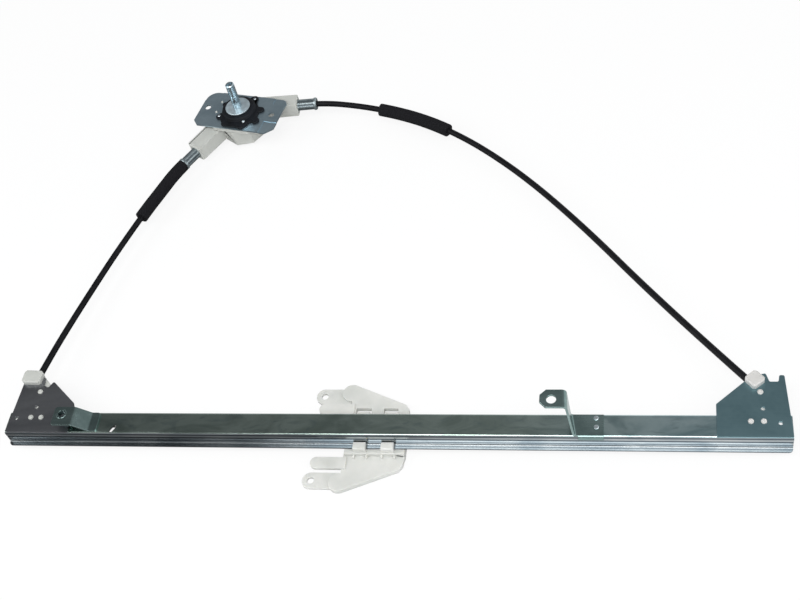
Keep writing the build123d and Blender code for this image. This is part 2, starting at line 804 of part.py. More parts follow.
# Brake cover: a cap on a wide skirt with riveted ears and lobes, each with its own radius
cover_ears = [(-20.1, -8.2, 3.6), (14.3, 16.0, 4.0), (-17.0, 9.6, 3.2)]
cover_lobes = [(24.2, -0.8, 3.6), (20.6, -16.4, 4.4), (6.4, -24.0, 3.8), (-12.4, -19.0, 3.6)]
with BuildPart() as brake_cover:
    with BuildSketch() as cover_foot:
        with Locations(cover_skirt_middle):
            Circle(cover_skirt_radius)
        for ear_x, ear_y, ear_radius in cover_ears + cover_lobes:
            with BuildSketch(mode=Mode.PRIVATE) as arm:
                with Locations((ear_x, ear_y)):
                    Circle(ear_radius)
                Circle(2 * ear_radius)
                make_hull()
            add(arm.sketch)
        add(plate_outline().rotate(Axis.Z, plate_angle), mode=Mode.INTERSECT)
    extrude(amount=cover_flange)
    chamfer(brake_cover.faces().sort_by(Axis.Z)[-1].outer_wire().edges(), 0.5)
    with BuildSketch(Plane.XY.offset(cover_flange)):
        Circle(cover_cap_foot)
    with BuildSketch(Plane.XY.offset(cover_height)):
        Circle(cover_cap_top)
    loft()
    chamfer(brake_cover.faces().sort_by(Axis.Z)[-1].edges(), 0.6)
    with BuildSketch():
        Circle(cover_bore)
    extrude(amount=cover_height - cover_wall, mode=Mode.SUBTRACT)
    with BuildSketch():
        Circle(collar_radius + running_fit)
        with Locations(*cover_rivets_at):
            Circle(rivet_radius)
    extrude(amount=cover_height, mode=Mode.SUBTRACT)
save(brake_cover, "brake_cover")

# Rivets of the brake cover, through the plate into the housing
with BuildPart() as cover_rivets:
    with BuildSketch(Plane.XY.offset(rivet_bottom)):
        with Locations(*cover_rivets_at):
            Circle(rivet_radius)
    extrude(amount=cover_flange - rivet_bottom)
    with BuildSketch(Plane.XY.offset(cover_flange)):
        with Locations(*cover_rivets_at):
            Circle(rivet_head)
    extrude(amount=rivet_rise)
    chamfer(cover_rivets.edges().filter_by(GeomType.CIRCLE).group_by(Axis.Z)[-1], 0.5)
save(cover_rivets, "cover_rivets")


def ferrule(tangent, direction):
    """A crimped ferrule from the housing's outlet over the end of the conduit."""
    axis_plane = Plane(origin=tangent, x_dir=heading(direction + 90), z_dir=heading(direction))
    with BuildPart() as sleeve:
        with BuildSketch(axis_plane.offset(ferrule_start)):
            Circle(ferrule_radius)
        extrude(amount=ferrule_end - ferrule_start)
        with BuildSketch(axis_plane.offset(ferrule_end - ferrule_collar)):
            Circle(ferrule_collar_radius)
        extrude(amount=ferrule_collar)
        end_face = sleeve.faces().sort_by(Axis(tangent, heading(direction)))[-1]
        chamfer(end_face.edges(), 0.6)
        with BuildSketch(axis_plane.offset(ferrule_start)):
            Circle(outlet_bore)
        extrude(amount=conduit_start - ferrule_start, mode=Mode.SUBTRACT)
        with BuildSketch(axis_plane.offset(conduit_start)):
            Circle(conduit_radius + sleeve_clearance)
        extrude(amount=ferrule_end - conduit_start, mode=Mode.SUBTRACT)
    return sleeve


save(ferrule(left_tangent, left_outlet), "left_ferrule")
save(ferrule(right_tangent, right_outlet), "right_ferrule")

# Conduits, with a six-sided liner
with BuildSketch() as conduit_section:
    Circle(conduit_radius)
    RegularPolygon(conduit_bore, 6, mode=Mode.SUBTRACT)
save(along(right_route, right_radii, conduit_section.sketch), "right_conduit")
save(along(left_route, left_radii, conduit_section.sketch), "left_conduit")

# Foam sleeves over the conduits, along the same corners
with BuildSketch() as sleeve_section:
    Circle(sleeve_radius)
    Circle(conduit_radius + sleeve_clearance, mode=Mode.SUBTRACT)
right_sleeve_route = [
    right_route[2] + (right_route[3] - right_route[2]) * 0.46,
    *right_route[3:5],
    right_route[4] + (right_route[5] - right_route[4]) * 0.64,
]
left_sleeve_route = [
    left_tangent + heading(left_outlet) * (ferrule_end + 0.2),
    *left_route[1:4],
    (left_route[3] + left_route[4]) / 2,
]
save(along(right_sleeve_route, right_radii[2:4], sleeve_section.sketch), "right_foam_sleeve")
save(along(left_sleeve_route, left_radii[0:3], sleeve_section.sketch), "left_foam_sleeve")

# Cables: a quarter turn on the drum, through the conduit, round the guide and along the rail,
# six-sided like the strands round their core
nipple_offset = nipple_spacing / 2
right_nipple_x = spindle_to_rail_middle + carrier_offset + nipple_offset
left_nipple_x = spindle_to_rail_middle + carrier_offset - nipple_offset
right_cable_route = [
    right_tangent - heading(right_outlet) * pitch_radius - heading(right_outlet + 90) * pitch_radius,
    right_tangent - heading(right_outlet) * pitch_radius,
    *right_route[1:-1],
    right_turn,
    Vector(right_nipple_x, -spindle_to_rail, rail_cable_z),
]
left_cable_route = [
    left_tangent - heading(left_outlet) * pitch_radius - heading(left_outlet - 90) * pitch_radius,
    left_tangent - heading(left_outlet) * pitch_radius,
    *left_route[1:-1],
    left_turn,
    Vector(left_nipple_x, -spindle_to_rail, rail_cable_z),
]
drum_wrap = pitch_radius - 0.01
with BuildSketch() as cable_section:
    RegularPolygon(cable_radius, 6)
save(along(right_cable_route, [drum_wrap, *right_radii, turn_radius], cable_section.sketch), "right_cable")
save(along(left_cable_route, [drum_wrap, *left_radii, turn_radius], cable_section.sketch), "left_cable")

# Crank spindle
collar_bottom = drum_top + 0.1
collar_top = cover_height + washer_gap
with BuildPart() as crank_spindle:
    with BuildSketch(Plane.XY.offset(ground + 1.0 + journal_end_gap)):
        Circle(journal_radius)
    extrude(amount=drum_bottom - ground - 1.0 - journal_end_gap)
    with BuildSketch(unit_plane(drum_bottom - 0.5)):
        Rectangle(square_size, square_size)
    extrude(amount=collar_bottom - drum_bottom + 0.5)
    with BuildSketch(Plane.XY.offset(collar_bottom)):
        Circle(collar_radius)
    extrude(amount=collar_top - collar_bottom)
    with BuildSketch(Plane.XY.offset(collar_top)):
        Circle(spindle_radius)
    extrude(amount=spindle_tip - collar_top)
    chamfer(crank_spindle.faces().sort_by(Axis.Z)[-1].edges(), 0.8)
    with BuildSketch(Plane.XY.offset(spindle_tip - spline_length - undercut_width)):
        Circle(spindle_radius)
        Circle(undercut_radius, mode=Mode.SUBTRACT)
    extrude(amount=undercut_width, mode=Mode.SUBTRACT)
    with BuildSketch(Plane.XY.offset(spindle_tip - tip_slot_depth)):
        with Locations(Location((0, 0, 0), (0, 0, 35))):
            Rectangle(3 * spindle_radius, tip_slot_width)
    extrude(amount=tip_slot_depth, mode=Mode.SUBTRACT)
    with BuildSketch(Plane.XY.offset(spindle_tip - spline_length)):
        with PolarLocations(spindle_radius - spline_depth / 2 + 0.1, spline_count):
            Rectangle(spline_depth + 0.2, spline_width)
    extrude(amount=spline_length, mode=Mode.SUBTRACT)
save(crank_spindle, "crank_spindle")

# Washer on the spindle
with BuildPart() as spindle_washer:
    with BuildSketch(Plane.XY.offset(collar_top)):
        Circle(washer_radius)
        Circle(spindle_radius + running_fit, mode=Mode.SUBTRACT)
    extrude(amount=washer_thickness)
    rims = spindle_washer.edges().filter_by(GeomType.CIRCLE).sort_by(SortBy.RADIUS)
    chamfer(rims[-2:], 0.3)
save(spindle_washer, "spindle_washer")

# Brake driver: a disc in the brake's cap, with two dogs down to the drum
with BuildPart() as brake_driver:
    with BuildSketch(Plane.XY.offset(driver_bottom)):
        Circle(driver_radius)
    extrude(amount=driver_thickness)
    dog_bottom = drum_top - dog_engagement
    with BuildSketch(unit_plane(dog_bottom)):
        with Locations((0, dog_circle), (0, -dog_circle)):
            Rectangle(dog_length, dog_width)
    extrude(amount=driver_bottom - dog_bottom)
    with BuildSketch(Plane.XY.offset(dog_bottom)):
        Circle(collar_radius + 0.02)
    extrude(amount=driver_bottom + driver_thickness - dog_bottom, mode=Mode.SUBTRACT)
save(brake_driver, "brake_driver")

# Wrap spring that locks in the cap when the glass pushes back
spring_radius = cover_bore - spring_clearance - spring_wire / 2
spring_start = driver_bottom + spring_wire / 2
with BuildPart() as wrap_spring:
    with BuildLine():
        Helix(spring_pitch, spring_pitch * spring_turns, spring_radius, center=(0, 0, spring_start))
    with BuildSketch(Plane(origin=(spring_radius, 0, spring_start), z_dir=(0, 1, 0))):
        Rectangle(spring_wire, spring_wire)
    sweep(is_frenet=True)
save(wrap_spring, "wrap_spring")

# Cable drum, with a ring groove for each turn of the cable
groove_bottom = pitch_radius - cable_radius - groove_room
groove_width = 2 * (cable_radius + groove_room)
with BuildPart() as cable_drum:
    with BuildSketch(Plane.XZ):
        with Locations((0, drum_middle)):
            Rectangle(drum_radius, 2 * drum_half, align=(Align.MIN, Align.CENTER))
        with Locations((groove_bottom, drum_middle)):
            with GridLocations(0, groove_pitch, 1, groove_count):
                Rectangle(10.0, groove_width, align=(Align.MIN, Align.CENTER), mode=Mode.SUBTRACT)
    revolve(axis=Axis.Z)
    with BuildSketch(unit_plane(drum_bottom)):
        Rectangle(square_size + 0.1, square_size + 0.1)
    extrude(amount=2 * drum_half, mode=Mode.SUBTRACT)
    with BuildSketch(unit_plane(dog_bottom)):
        with Locations((0, dog_circle), (0, -dog_circle)):
            Rectangle(dog_length + 2 * dog_clearance, dog_width + 2 * dog_clearance)
    extrude(amount=dog_engagement, mode=Mode.SUBTRACT)
    with BuildSketch(unit_plane(drum_top - drum_nipple_length)):
        with Locations((drum_nipple_circle, 0)):
            Circle(drum_nipple_radius)
    extrude(amount=drum_nipple_length, mode=Mode.SUBTRACT)
    with BuildSketch(unit_plane(drum_bottom)):
        with Locations((-drum_nipple_circle, 0)):
            Circle(drum_nipple_radius)
    extrude(amount=drum_nipple_length, mode=Mode.SUBTRACT)
save(cable_drum, "cable_drum")

# Turns of the cable that stay on the drum, six-sided to keep them light
wound_turns = (-2.5, -1.5, 1.5, 2.5)
with BuildPart() as cable_windings:
    with BuildSketch(Plane.XZ):
        for turn in wound_turns:
            with Locations((groove_bottom + cable_radius, drum_middle + turn * groove_pitch)):
                RegularPolygon(cable_radius, 6, rotation=30)
    revolve(axis=Axis.Z)
save(cable_windings, "cable_windings")

# Nipples of the cables in the drum's rims
with BuildPart() as drum_nipples:
    with BuildSketch(unit_plane(drum_top - drum_nipple_length)):
        with Locations((drum_nipple_circle, 0)):
            Circle(drum_nipple_radius)
    extrude(amount=drum_nipple_length)
    with BuildSketch(unit_plane(drum_bottom)):
        with Locations((-drum_nipple_circle, 0)):
            Circle(drum_nipple_radius)
    extrude(amount=drum_nipple_length)
save(drum_nipples, "drum_nipples")
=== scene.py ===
import math

import bpy
from mathutils import Matrix, Vector


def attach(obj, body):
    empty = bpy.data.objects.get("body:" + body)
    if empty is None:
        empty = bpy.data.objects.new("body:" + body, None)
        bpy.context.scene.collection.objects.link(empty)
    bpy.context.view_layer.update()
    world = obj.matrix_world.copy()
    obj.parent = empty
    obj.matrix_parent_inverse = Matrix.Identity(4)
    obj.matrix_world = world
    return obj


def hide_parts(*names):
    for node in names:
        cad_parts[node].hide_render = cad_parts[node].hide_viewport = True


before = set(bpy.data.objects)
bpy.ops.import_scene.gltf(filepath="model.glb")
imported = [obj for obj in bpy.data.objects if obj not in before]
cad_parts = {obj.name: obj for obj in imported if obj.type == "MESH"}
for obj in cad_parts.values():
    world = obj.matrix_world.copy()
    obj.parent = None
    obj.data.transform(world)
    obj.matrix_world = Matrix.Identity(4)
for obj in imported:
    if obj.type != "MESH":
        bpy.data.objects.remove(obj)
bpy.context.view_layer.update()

scene = bpy.context.scene
scene.view_settings.view_transform = "Standard"

MM = 0.001

# Places that part.py sets, in metres
GROUND = -0.032
RAIL_MIDDLE = 0.194
RAIL_Y = -0.381
WEB_TOP = -0.007
MID_TAB_RISE = 0.039
ROLLED_LINE_Z = -0.0133

# The cables at the drum, in millimetres, and the directions in which they leave
# the housing and the guides, in degrees from +X
PITCH_RADIUS = 14.0
RIGHT_HEIGHT = -11.75
LEFT_HEIGHT = -14.25
RIGHT_OUTLET = 2.8
LEFT_OUTLET = -120.6
RIGHT_EXIT = 130.5
LEFT_EXIT = 79.0
CONDUIT_RADIUS = 3.0
FOAM_RADIUS = 6.5

# The sockets of a Mix node that mixes colours
COLOUR_A = 6
COLOUR_B = 7
COLOUR_RESULT = 2

# Relief and lines of the zinc-coated sheets and the ferrules, in metres
SHEET_RELIEF = 0.00002
ROLLED_PITCH = 0.0043
CRIMPS = 8.0
CRIMPS_BEGIN = (0.058, 0.061)
CRIMPS_END = (0.0785, 0.0765)

# Grain that all noise shares
NOISE_ROUGHNESS = 0.55

# How the middle tab stands off its CAD solid, in metres, with places along the
# rail from its middle and across it from its centre line
TAB_FAR_EDGE = 0.0092
TAB_WIDTH = 0.0202
UPRIGHT_FROM = 0.16
UPRIGHT_TO = 0.1745
UPRIGHT_SHIFT = 0.0064
UPRIGHT_TURN = 0.0036
UPRIGHT_LEAN = 0.0014
UPRIGHT_TWIST = 0.0026
NEAR_EDGE = -0.005
NEAR_EDGE_SHIFT = 0.0036
FLAP_TO = 0.178
FLAP_SHIFT = 0.0055
FLAP_DEPTH = 0.004
FLAP_CUT = 0.0042
FOOT_FROM = 0.19
FOOT_CUT = 0.004

# The cover's skirt, in millimetres and degrees
SKIRT_CORNERS = [(-19.5, -8.5), (-17.3, -15.2), (-13.6, -22.3), (7.6, -27.0), (13.4, -22.4)]
SKIRT_RADIUS = 17.2
SKIRT_ARC = range(310, 190, -10)
SKIRT_BASE = 0.05
SKIRT_HEIGHT = 1.9

# The floor, in metres, its share of glow and the strength of what metal mirrors
FLOOR_SIZE = 14.0
FLOOR_GAP = 0.0002
FLOOR_GLOW = 0.85
DIM_FLOOR = 0.04
ROOM_STRENGTH = 0.5


# Camera

def place_camera():
    """The camera of the photograph: its place, what it looks at and its roll."""
    place = Vector((0.43169, -0.91548, 0.85810))
    aim = Vector((0.194245, -0.230289, -0.032))
    roll = math.radians(-15.942)
    back = (place - aim).normalized()
    level = (-back).cross(Vector((0, 0, 1))).normalized()
    upright = back.cross(level)
    right = math.cos(roll) * level + math.sin(roll) * upright
    up = back.cross(right)
    camera = bpy.data.cameras.new("camera")
    camera.sensor_width = 36.0
    camera.lens = 55.514
    camera.clip_start = 0.01
    camera.clip_end = 20.0
    holder = bpy.data.objects.new("camera", camera)
    scene.collection.objects.link(holder)
    turn = Matrix((right, up, back)).transposed()
    holder.matrix_world = Matrix.Translation(place) @ turn.to_4x4()
    scene.camera = holder


place_camera()


# Shader maths and nodes

class Value:
    """A socket or a number that Python's operators turn into Math nodes."""

    def __init__(self, build, source):
        self.build = build
        self.source = source

    def maths(self, operation, *others):
        values = [self.source] + [o.source if isinstance(o, Value) else o for o in others]
        inputs = dict(enumerate(values))
        return self.build.value("ShaderNodeMath", {"operation": operation}, inputs)

    def __add__(self, other):
        return self.maths("ADD", other)

    __radd__ = __add__

    def __mul__(self, other):
        return self.maths("MULTIPLY", other)

    __rmul__ = __mul__

    def __sub__(self, other):
        return self.maths("SUBTRACT", other)

    def sine(self):
        return self.maths("SINE")

    def angle_from(self, other):
        return self.maths("ARCTAN2", other)

    def at_least(self, other):
        return self.maths("MAXIMUM", other)

    def ramp(self, low, high):
        """0 at low, 1 at high, and clamped outside."""
        settings = {"interpolation_type": "SMOOTHSTEP"}
        inputs = {"Value": self.source, "From Min": low, "From Max": high}
        return self.build.value("ShaderNodeMapRange", settings, inputs)


class Shading:
    """Adds nodes to the tree of a material or of the world."""

    def __init__(self, tree):
        self.tree = tree

    def node(self, kind, settings=None, inputs=None):
        made = self.tree.nodes.new(kind)
        for key, setting in (settings or {}).items():
            setattr(made, key, setting)
        for key, source in (inputs or {}).items():
            self.plug(source, made.inputs[key])
        return made

    def plug(self, source, target):
        """Links a value or a socket to a target socket, or sets a plain number there."""
        if isinstance(source, Value):
            source = source.source
        if isinstance(source, bpy.types.NodeSocket):
            self.tree.links.new(source, target)
        else:
            target.default_value = source

    def value(self, kind, settings=None, inputs=None, output=0):
        return Value(self, self.node(kind, settings, inputs).outputs[output])

    def axes(self, vector):
        """The three parts of a vector as values."""
        split = self.node("ShaderNodeSeparateXYZ", {}, {"Vector": vector})
        return [Value(self, split.outputs[axis]) for axis in "XYZ"]

    def seen(self):
        """1 for what the camera sees, mirrored or not, and 0 for light on the object."""
        path = self.node("ShaderNodeLightPath").outputs
        straight = Value(self, path["Is Camera Ray"])
        mirrored = Value(self, path["Is Glossy Ray"])
        through = Value(self, path["Is Transmission Ray"])
        return straight.at_least(mirrored).at_least(through)

    def glossy(self):
        """1 for what a shiny surface mirrors."""
        return Value(self, self.node("ShaderNodeLightPath").outputs["Is Glossy Ray"])

    def mix(self, factor, first, second):
        """first where factor is 0 and second where it is 1."""
        inputs = {"Factor": factor, COLOUR_A: first, COLOUR_B: second}
        mixed = self.node("ShaderNodeMix", {"data_type": "RGBA"}, inputs)
        return mixed.outputs[COLOUR_RESULT]


class Material(Shading):
    """Builds one procedural material on a Principled shader."""

    def __init__(self, name):
        self.material = bpy.data.materials.new(name)
        self.material.use_nodes = True
        super().__init__(self.material.node_tree)
        self.shader = self.tree.nodes["Principled BSDF"]

    def place(self, stretch=(1, 1, 1), turn=(0, 0, 0)):
        """Object coordinates in metres, stretched and turned."""
        where = self.node("ShaderNodeTexCoord").outputs["Object"]
        inputs = {"Vector": where, "Scale": stretch, "Rotation": turn}
        return self.node("ShaderNodeMapping", {}, inputs).outputs["Vector"]

    def noise(self, size, detail=3.0, where=None, distortion=0.0):
        """Cloudy noise whose lumps are about size metres."""
        inputs = {"Vector": where or self.place(), "Scale": 1.0 / size, "Detail": detail}
        inputs.update({"Roughness": NOISE_ROUGHNESS, "Distortion": distortion})
        return self.value("ShaderNodeTexNoise", {}, inputs)

    def cells(self, size):
        """Cells about size metres wide, dark in their middles."""
        inputs = {"Vector": self.place(), "Scale": 1.0 / size}
        return self.value("ShaderNodeTexVoronoi", {"feature": "F1"}, inputs)

    def link(self, socket, source):
        """Feeds one socket of the material's shader."""
        self.plug(source, self.shader.inputs[socket])

    def bump(self, height, depth):
        """Relief of depth metres."""
        inputs = {"Height": height, "Distance": depth, "Strength": 1.0}
        self.link("Normal", self.node("ShaderNodeBump", {}, inputs).outputs["Normal"])

    def rolled_relief(self, rolled):
        """The faint waves of rolled sheet."""
        waves = self.noise(0.03, 2.0, self.place((0.3, 1, 1)))
        self.bump(waves * 0.8 + rolled * 0.2, SHEET_RELIEF)


def colour(red, green, painted_lit_blue):
    return (red, green, painted_lit_blue, 1.0)


def zinc_sheet(name, deep, pale, roughness):
    """Zinc-coated sheet: broad clouds, rolling lines along X, faint waves and a few scuffs."""
    made = Material(name)
    clouds = made.noise(0.05, 4.0, made.place((0.45, 1, 1)), distortion=1.2)
    spangle = made.cells(0.004)
    rolled = made.noise(0.0012, 2.0, made.place((0.02, 1, 1)))
    scuffs = made.noise(0.0016, 5.0, made.place((0.05, 1, 0.6), (0, 0, 0.4)))
    scratch = scuffs.ramp(0.68, 0.78) * made.noise(0.06).ramp(0.45, 0.62)
    tone = clouds * 0.8 + spangle * 0.08 + rolled * 0.12
    body = made.mix(tone.ramp(0.3, 0.65), deep, pale)
    made.link("Base Color", made.mix(scratch * 0.3, body, colour(0.6, 0.68, 0.68)))
    made.link("Metallic", 1.0)
    made.link("Roughness", roughness + 0.1 * clouds + 0.04 * rolled)
    made.rolled_relief(rolled)
    return made.material


def rail_sheet_metal():
    """The rail's zinc: greenish clouds on the web, bluer and painted lighter towards +X, and sides
    with painted dark lines of shade and dark reflection along their rolled grooves.
    """
    made = Material("rail_zinc")
    along, _, up = made.axes(made.place())
    clouds = made.noise(0.028, 5.0, made.place((0.4, 1, 1)), distortion=1.5)
    rolled = made.noise(0.0012, 2.0, made.place((0.015, 1, 1)))
    stains = made.noise(0.012, 4.0, made.place((0.5, 1, 1)), distortion=2.0).ramp(0.52, 0.72)
    patches = clouds.ramp(0.32, 0.66)
    green = made.mix(patches, colour(0.3, 0.38, 0.34), colour(0.48, 0.58, 0.53))
    painted_lit_blue = made.mix(patches, colour(0.3, 0.44, 0.47), colour(0.55, 0.7, 0.72))
    # Towards +X the web turns bluer and also lighter; the lighter part is painted light, standing
    # in for the brighter light on that side.
    web = made.mix(along.ramp(0.28, 0.46), green, painted_lit_blue)
    web = made.mix(stains * 0.35, web, colour(0.2, 0.28, 0.3))
    plain = made.mix(clouds.ramp(0.35, 0.65), colour(0.36, 0.4, 0.42), colour(0.5, 0.53, 0.54))
    # The dark lines along the sides, at the rolled grooves' pitch, are painted shade and painted
    # dark reflection, not marks in the zinc.
    lines = ((up - ROLLED_LINE_Z) * (2 * math.pi / ROLLED_PITCH) + math.pi / 2).sine()
    side = made.mix(lines.ramp(-0.2, 0.8) * 0.88, plain, colour(0.06, 0.08, 0.1))
    below = up.ramp(WEB_TOP - 0.0002, WEB_TOP - 0.0008)
    made.link("Base Color", made.mix(below, web, side))
    made.link("Metallic", 1.0)
    made.link("Roughness", 0.1 + 0.12 * clouds + 0.04 * rolled)
    made.rolled_relief(rolled)
    return made.material


def zinc(name, tint, roughness, turned=False, shine=1.0):
    """Bright zinc plate with a bluish cast, tool marks and slight clouds."""
    made = Material(name)
    clouds = made.noise(0.006, 4.0)
    stretch = (1, 1, 14) if turned else (1, 1, 1)
    lines = made.noise(0.0008, 3.0, made.place(stretch))
    pale = tuple(min(1.0, channel * 1.25) for channel in tint[:3]) + (1.0,)
    made.link("Base Color", made.mix(clouds.ramp(0.35, 0.65), tint, pale))
    made.link("Metallic", shine)
    made.link("Roughness", roughness + 0.18 * clouds + 0.08 * lines)
    made.bump(lines, 0.00002)
    return made.material


def crimped_zinc(name, outlet, side, height):
    """Dull ferrule with lengthwise crimps round its own axis, with painted shade in their grooves.
    """
    made = Material(name)
    turned = made.place(turn=(0, 0, -math.radians(outlet)))
    reach, across, up = made.axes(turned)
    angle = (up - height).angle_from(across - side)
    crimps = (angle * CRIMPS).sine() * 0.5 + 0.5
    crimps = crimps * reach.ramp(*CRIMPS_BEGIN) * reach.ramp(*CRIMPS_END)
    clouds = made.noise(0.004, 4.0)
    body = made.mix(clouds.ramp(0.3, 0.7), colour(0.3, 0.36, 0.38), colour(0.46, 0.53, 0.55))
    # The crimps' grooves are painted darker: painted shade in the creases.
    made.link("Base Color", made.mix(crimps.ramp(0.3, 0.9) * 0.7, body, colour(0.1, 0.13, 0.15)))
    made.link("Metallic", 0.9)
    made.link("Roughness", 0.3 + 0.15 * clouds)
    made.bump(crimps * -1.0, 0.0005)
    return made.material


def moulded(name, tint, shade, roughness, see_in):
    """Moulded nylon: faint flow clouds, fine mould texture, light that goes in a little."""
    made = Material(name)
    clouds = made.noise(0.03, 3.0)
    grime = made.noise(0.006, 6.0).ramp(0.58, 0.8)
    body = made.mix(clouds.ramp(0.3, 0.7), tint, shade)
    dull = tuple(0.85 * channel for channel in shade[:3]) + (1.0,)
    made.link("Base Color", made.mix(grime * 0.2, body, dull))
    made.link("Roughness", roughness + 0.12 * clouds)
    made.link("Subsurface Weight", see_in)
    made.link("Subsurface Radius", (0.005, 0.0048, 0.0044))
    made.link("Subsurface Scale", 1.0)
    made.link("Specular IOR Level", 0.4)
    made.bump(made.noise(0.0005, 2.0) * 0.4 + made.noise(0.004, 2.0) * 0.6, 0.00003)
    return made.material


def black_sheath():
    """Extruded black sheath, faintly dusty."""
    made = Material("black_sheath")
    clouds = made.noise(0.012, 4.0)
    dust = made.noise(0.0012, 6.0).ramp(0.62, 0.82)
    deep, pale = colour(0.003, 0.003, 0.004), colour(0.007, 0.007, 0.009)
    body = made.mix(clouds.ramp(0.3, 0.7), deep, pale)
    made.link("Base Color", made.mix(dust * 0.12, body, colour(0.05, 0.05, 0.055)))
    made.link("Roughness", 0.42 + 0.15 * clouds + 0.1 * dust)
    made.link("Specular IOR Level", 0.18)
    made.bump(made.noise(0.002, 3.0), 0.00003)
    return made.material


def black_foam():
    """Closed-cell foam: small pits with painted shade in their middles, matt, with soft wrinkles.
    """
    made = Material("black_foam")
    pits = made.cells(0.0011)
    wrinkle = made.noise(0.008, 4.0)
    # The pits' middles are painted darker: painted shade inside them.
    body = made.mix(pits.ramp(0.1, 0.6), colour(0.004, 0.004, 0.005), colour(0.01, 0.01, 0.012))
    made.link("Base Color", body)
    made.link("Roughness", 0.8 + 0.12 * wrinkle)
    made.link("Specular IOR Level", 0.15)
    made.bump(pits * 0.5 + wrinkle * 0.5, 0.0003)
    return made.material


def black_cover():
    """Black moulded cover with a fine spark-eroded grain."""
    made = Material("black_cover")
    clouds = made.noise(0.01, 4.0)
    deep, pale = colour(0.003, 0.004, 0.006), colour(0.007, 0.009, 0.013)
    body = made.mix(clouds.ramp(0.3, 0.7), deep, pale)
    made.link("Base Color", body)
    made.link("Roughness", 0.5 + 0.15 * clouds)
    made.link("Specular IOR Level", 0.25)
    made.bump(made.noise(0.0006, 2.0), 0.00004)
    return made.material


def greased_cable():
    """Stranded cable: slanted ridges along X and a film of grease."""
    made = Material("cable_steel")
    along, across, _ = made.axes(made.place())
    strands = ((along * 5200.0) + (across * 4200.0)).sine()
    grease = made.noise(0.004, 4.0)
    body = made.mix(grease.ramp(0.4, 0.7), colour(0.42, 0.43, 0.45), colour(0.2, 0.17, 0.12))
    made.link("Base Color", body)
    made.link("Metallic", 0.9)
    made.link("Roughness", 0.32 + 0.2 * grease)
    made.bump(strands, 0.0001)
    return made.material


rail_zinc = rail_sheet_metal()
left_bracket_zinc = zinc_sheet(
    "left_bracket_zinc", colour(0.25, 0.26, 0.28), colour(0.33, 0.34, 0.36), 0.26
)
right_bracket_zinc = zinc_sheet(
    "right_bracket_zinc", colour(0.19, 0.32, 0.36), colour(0.25, 0.4, 0.44), 0.26
)
tab_zinc = zinc_sheet("tab_zinc", colour(0.22, 0.31, 0.3), colour(0.34, 0.45, 0.44), 0.2)
plate_zinc = zinc_sheet("plate_zinc", colour(0.4, 0.52, 0.59), colour(0.54, 0.67, 0.74), 0.28)
plain_zinc = zinc("plain_zinc", colour(0.6, 0.66, 0.69), 0.24)
washer_zinc = zinc("washer_zinc", colour(0.44, 0.52, 0.56), 0.22, shine=0.6)
turned_zinc = zinc("turned_zinc", colour(0.5, 0.6, 0.65), 0.14, turned=True)
right_ferrule_zinc = crimped_zinc(
    "right_ferrule_zinc", RIGHT_OUTLET, PITCH_RADIUS * MM, RIGHT_HEIGHT * MM
)
left_ferrule_zinc = crimped_zinc(
    "left_ferrule_zinc", LEFT_OUTLET, -PITCH_RADIUS * MM, LEFT_HEIGHT * MM
)
spring_wire = zinc("spring_wire", colour(0.22, 0.23, 0.25), 0.3)
white_nylon = moulded(
    "white_nylon", colour(0.54, 0.55, 0.52), colour(0.46, 0.47, 0.44), 0.38, 0.15
)
# A lighter copy of white_nylon for the right guide: painted light, standing in for the brighter
# light towards +X.
painted_lit_nylon = moulded(
    "painted_lit_nylon", colour(0.62, 0.61, 0.59), colour(0.55, 0.54, 0.52), 0.38, 0.15
)
natural_nylon = moulded(
    "natural_nylon", colour(0.68, 0.68, 0.65), colour(0.58, 0.59, 0.56), 0.34, 0.5
)
drum_plastic = moulded(
    "drum_plastic", colour(0.6, 0.57, 0.48), colour(0.5, 0.47, 0.4), 0.45, 0.1
)
sheath = black_sheath()
foam = black_foam()
cover_plastic = black_cover()
cable_steel = greased_cable()

node_finishes = {
    "rail": rail_zinc,
    "left_bracket": left_bracket_zinc,
    "right_bracket": right_bracket_zinc,
    "left_tab": tab_zinc,
    "mid_tab": tab_zinc,
    "mounting_plate": plate_zinc,
    "tab_rivets": plain_zinc,
    "cover_rivets": plain_zinc,
    "left_ferrule": left_ferrule_zinc,
    "right_ferrule": right_ferrule_zinc,
    "crank_spindle": turned_zinc,
    "spindle_washer": washer_zinc,
    "brake_driver": plain_zinc,
    "drum_nipples": plain_zinc,
    "carrier_nipples": plain_zinc,
    "wrap_spring": spring_wire,
    "left_guide": white_nylon,
    "right_guide": painted_lit_nylon,
    "drum_housing": white_nylon,
    "carrier": natural_nylon,
    "cable_drum": drum_plastic,
    "brake_cover": cover_plastic,
    "left_cable": cable_steel,
    "right_cable": cable_steel,
    "cable_windings": cable_steel,
}
for node_name, finish in node_finishes.items():
    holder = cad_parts[node_name]
    if not holder.material_slots:
        holder.data.materials.append(finish)
    for slot in holder.material_slots:
        slot.material = finish


# Cords

def heading(degrees):
    """The level unit vector so many degrees from +X."""
    return Vector((math.cos(math.radians(degrees)), math.sin(math.radians(degrees)), 0))


